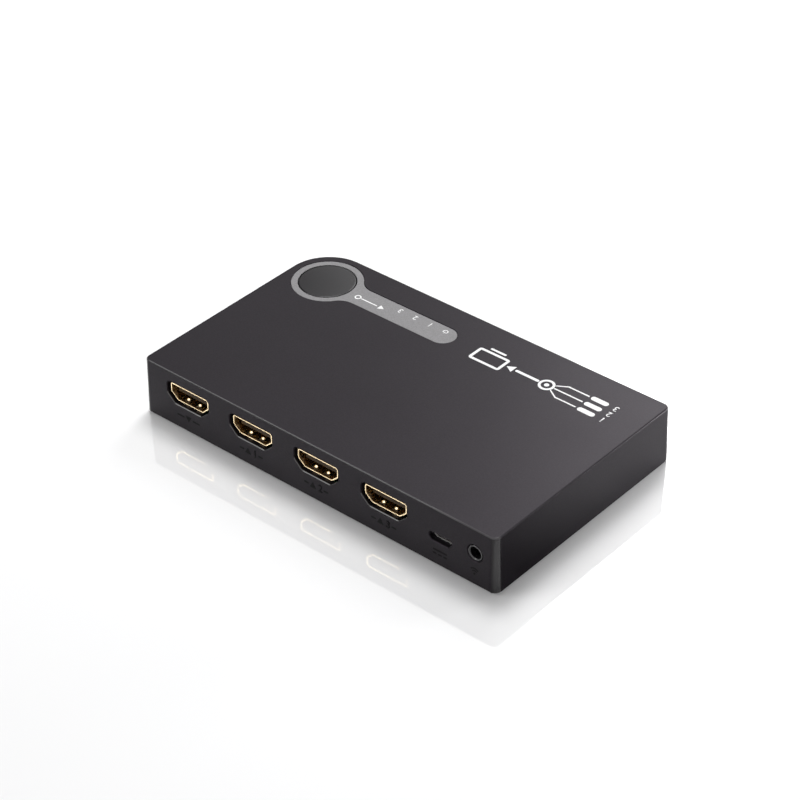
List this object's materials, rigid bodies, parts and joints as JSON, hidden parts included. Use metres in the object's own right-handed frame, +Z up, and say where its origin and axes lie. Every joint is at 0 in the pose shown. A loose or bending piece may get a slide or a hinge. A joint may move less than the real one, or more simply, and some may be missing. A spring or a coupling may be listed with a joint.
{
  "type": "hdmi switch box",
  "caption": "Low black video switch box with plug sockets, a power socket and a round jack along its front, and a sprung select button set in a grey key-shaped panel on top.",
  "frame": {"origin": "bottom centre of the box, on the surface that the feet rest on", "axes": "+X along the socket row towards the jack, -Y out of the sockets, +Z up"},
  "size_m": [0.13, 0.0776, 0.019],
  "materials": {
    "case_black": "fine moulded texture",
    "base_black": "fine moulded texture",
    "panel_grey": "satin",
    "button_grey": "satin",
    "board_green": "solder resist",
    "gold_plate": "plated sheet",
    "contact_gold": "plated",
    "socket_black": "moulded",
    "power_steel": "plated sheet",
    "switch_black": "moulded",
    "switch_steel": "plated sheet",
    "tinned_lead": "tinned",
    "chip_black": "moulded",
    "lamp_clear": "clear",
    "can_aluminium": "drawn",
    "can_base_black": "moulded",
    "ceramic_tan": "fired",
    "resistor_black": "glazed",
    "screw_black": "blackened",
    "screw_zinc": "zinc plated",
    "rubber_black": "matt"
  },
  "bodies": {
    "case": {"top_shell": "case_black", "base_plate": "base_black", "indicator_panel": "panel_grey", "circuit_board": "board_green", "video_shell_out": "gold_plate", "video_shell_in_1": "gold_plate", "video_shell_in_2": "gold_plate", "video_shell_in_3": "gold_plate", "video_contacts_out": "contact_gold", "video_contacts_in_1": "contact_gold", "video_contacts_in_2": "contact_gold", "video_contacts_in_3": "contact_gold", "power_contacts": "contact_gold", "video_tongue_out": "socket_black", "video_tongue_in_1": "socket_black", "video_tongue_in_2": "socket_black", "video_tongue_in_3": "socket_black", "power_tongue": "socket_black", "jack_body": "socket_black", "power_shell": "power_steel", "switch_body": "switch_black", "switch_cover": "switch_steel", "switch_terminals": "tinned_lead", "jack_terminals": "tinned_lead", "video_chip_leads": "tinned_lead", "control_chip_leads": "tinned_lead", "regulator_leads": "tinned_lead", "video_chip": "chip_black", "control_chip": "chip_black", "regulator": "chip_black", "lamp_power": "lamp_clear", "lamp_1": "lamp_clear", "lamp_2": "lamp_clear", "lamp_3": "lamp_clear", "capacitor_cans": "can_aluminium", "crystal": "can_aluminium", "capacitor_bases": "can_base_black", "ceramic_capacitors": "ceramic_tan", "chip_resistors": "resistor_black", "case_screws": "screw_black", "board_screws": "screw_zinc", "foot_front_left": "rubber_black", "foot_front_right": "rubber_black", "foot_back_left": "rubber_black", "foot_back_right": "rubber_black"},
    "button": {"select_button": "button_grey", "switch_plunger": "switch_black"}
  },
  "joints": [
    {"name": "button_press", "type": "slide", "parent": "case", "child": "button", "axis": [0, 0, -1], "range_m": [0, 0.0005], "stiffness_N_per_m": 2500, "springref_m": -0.0002}
  ]
}
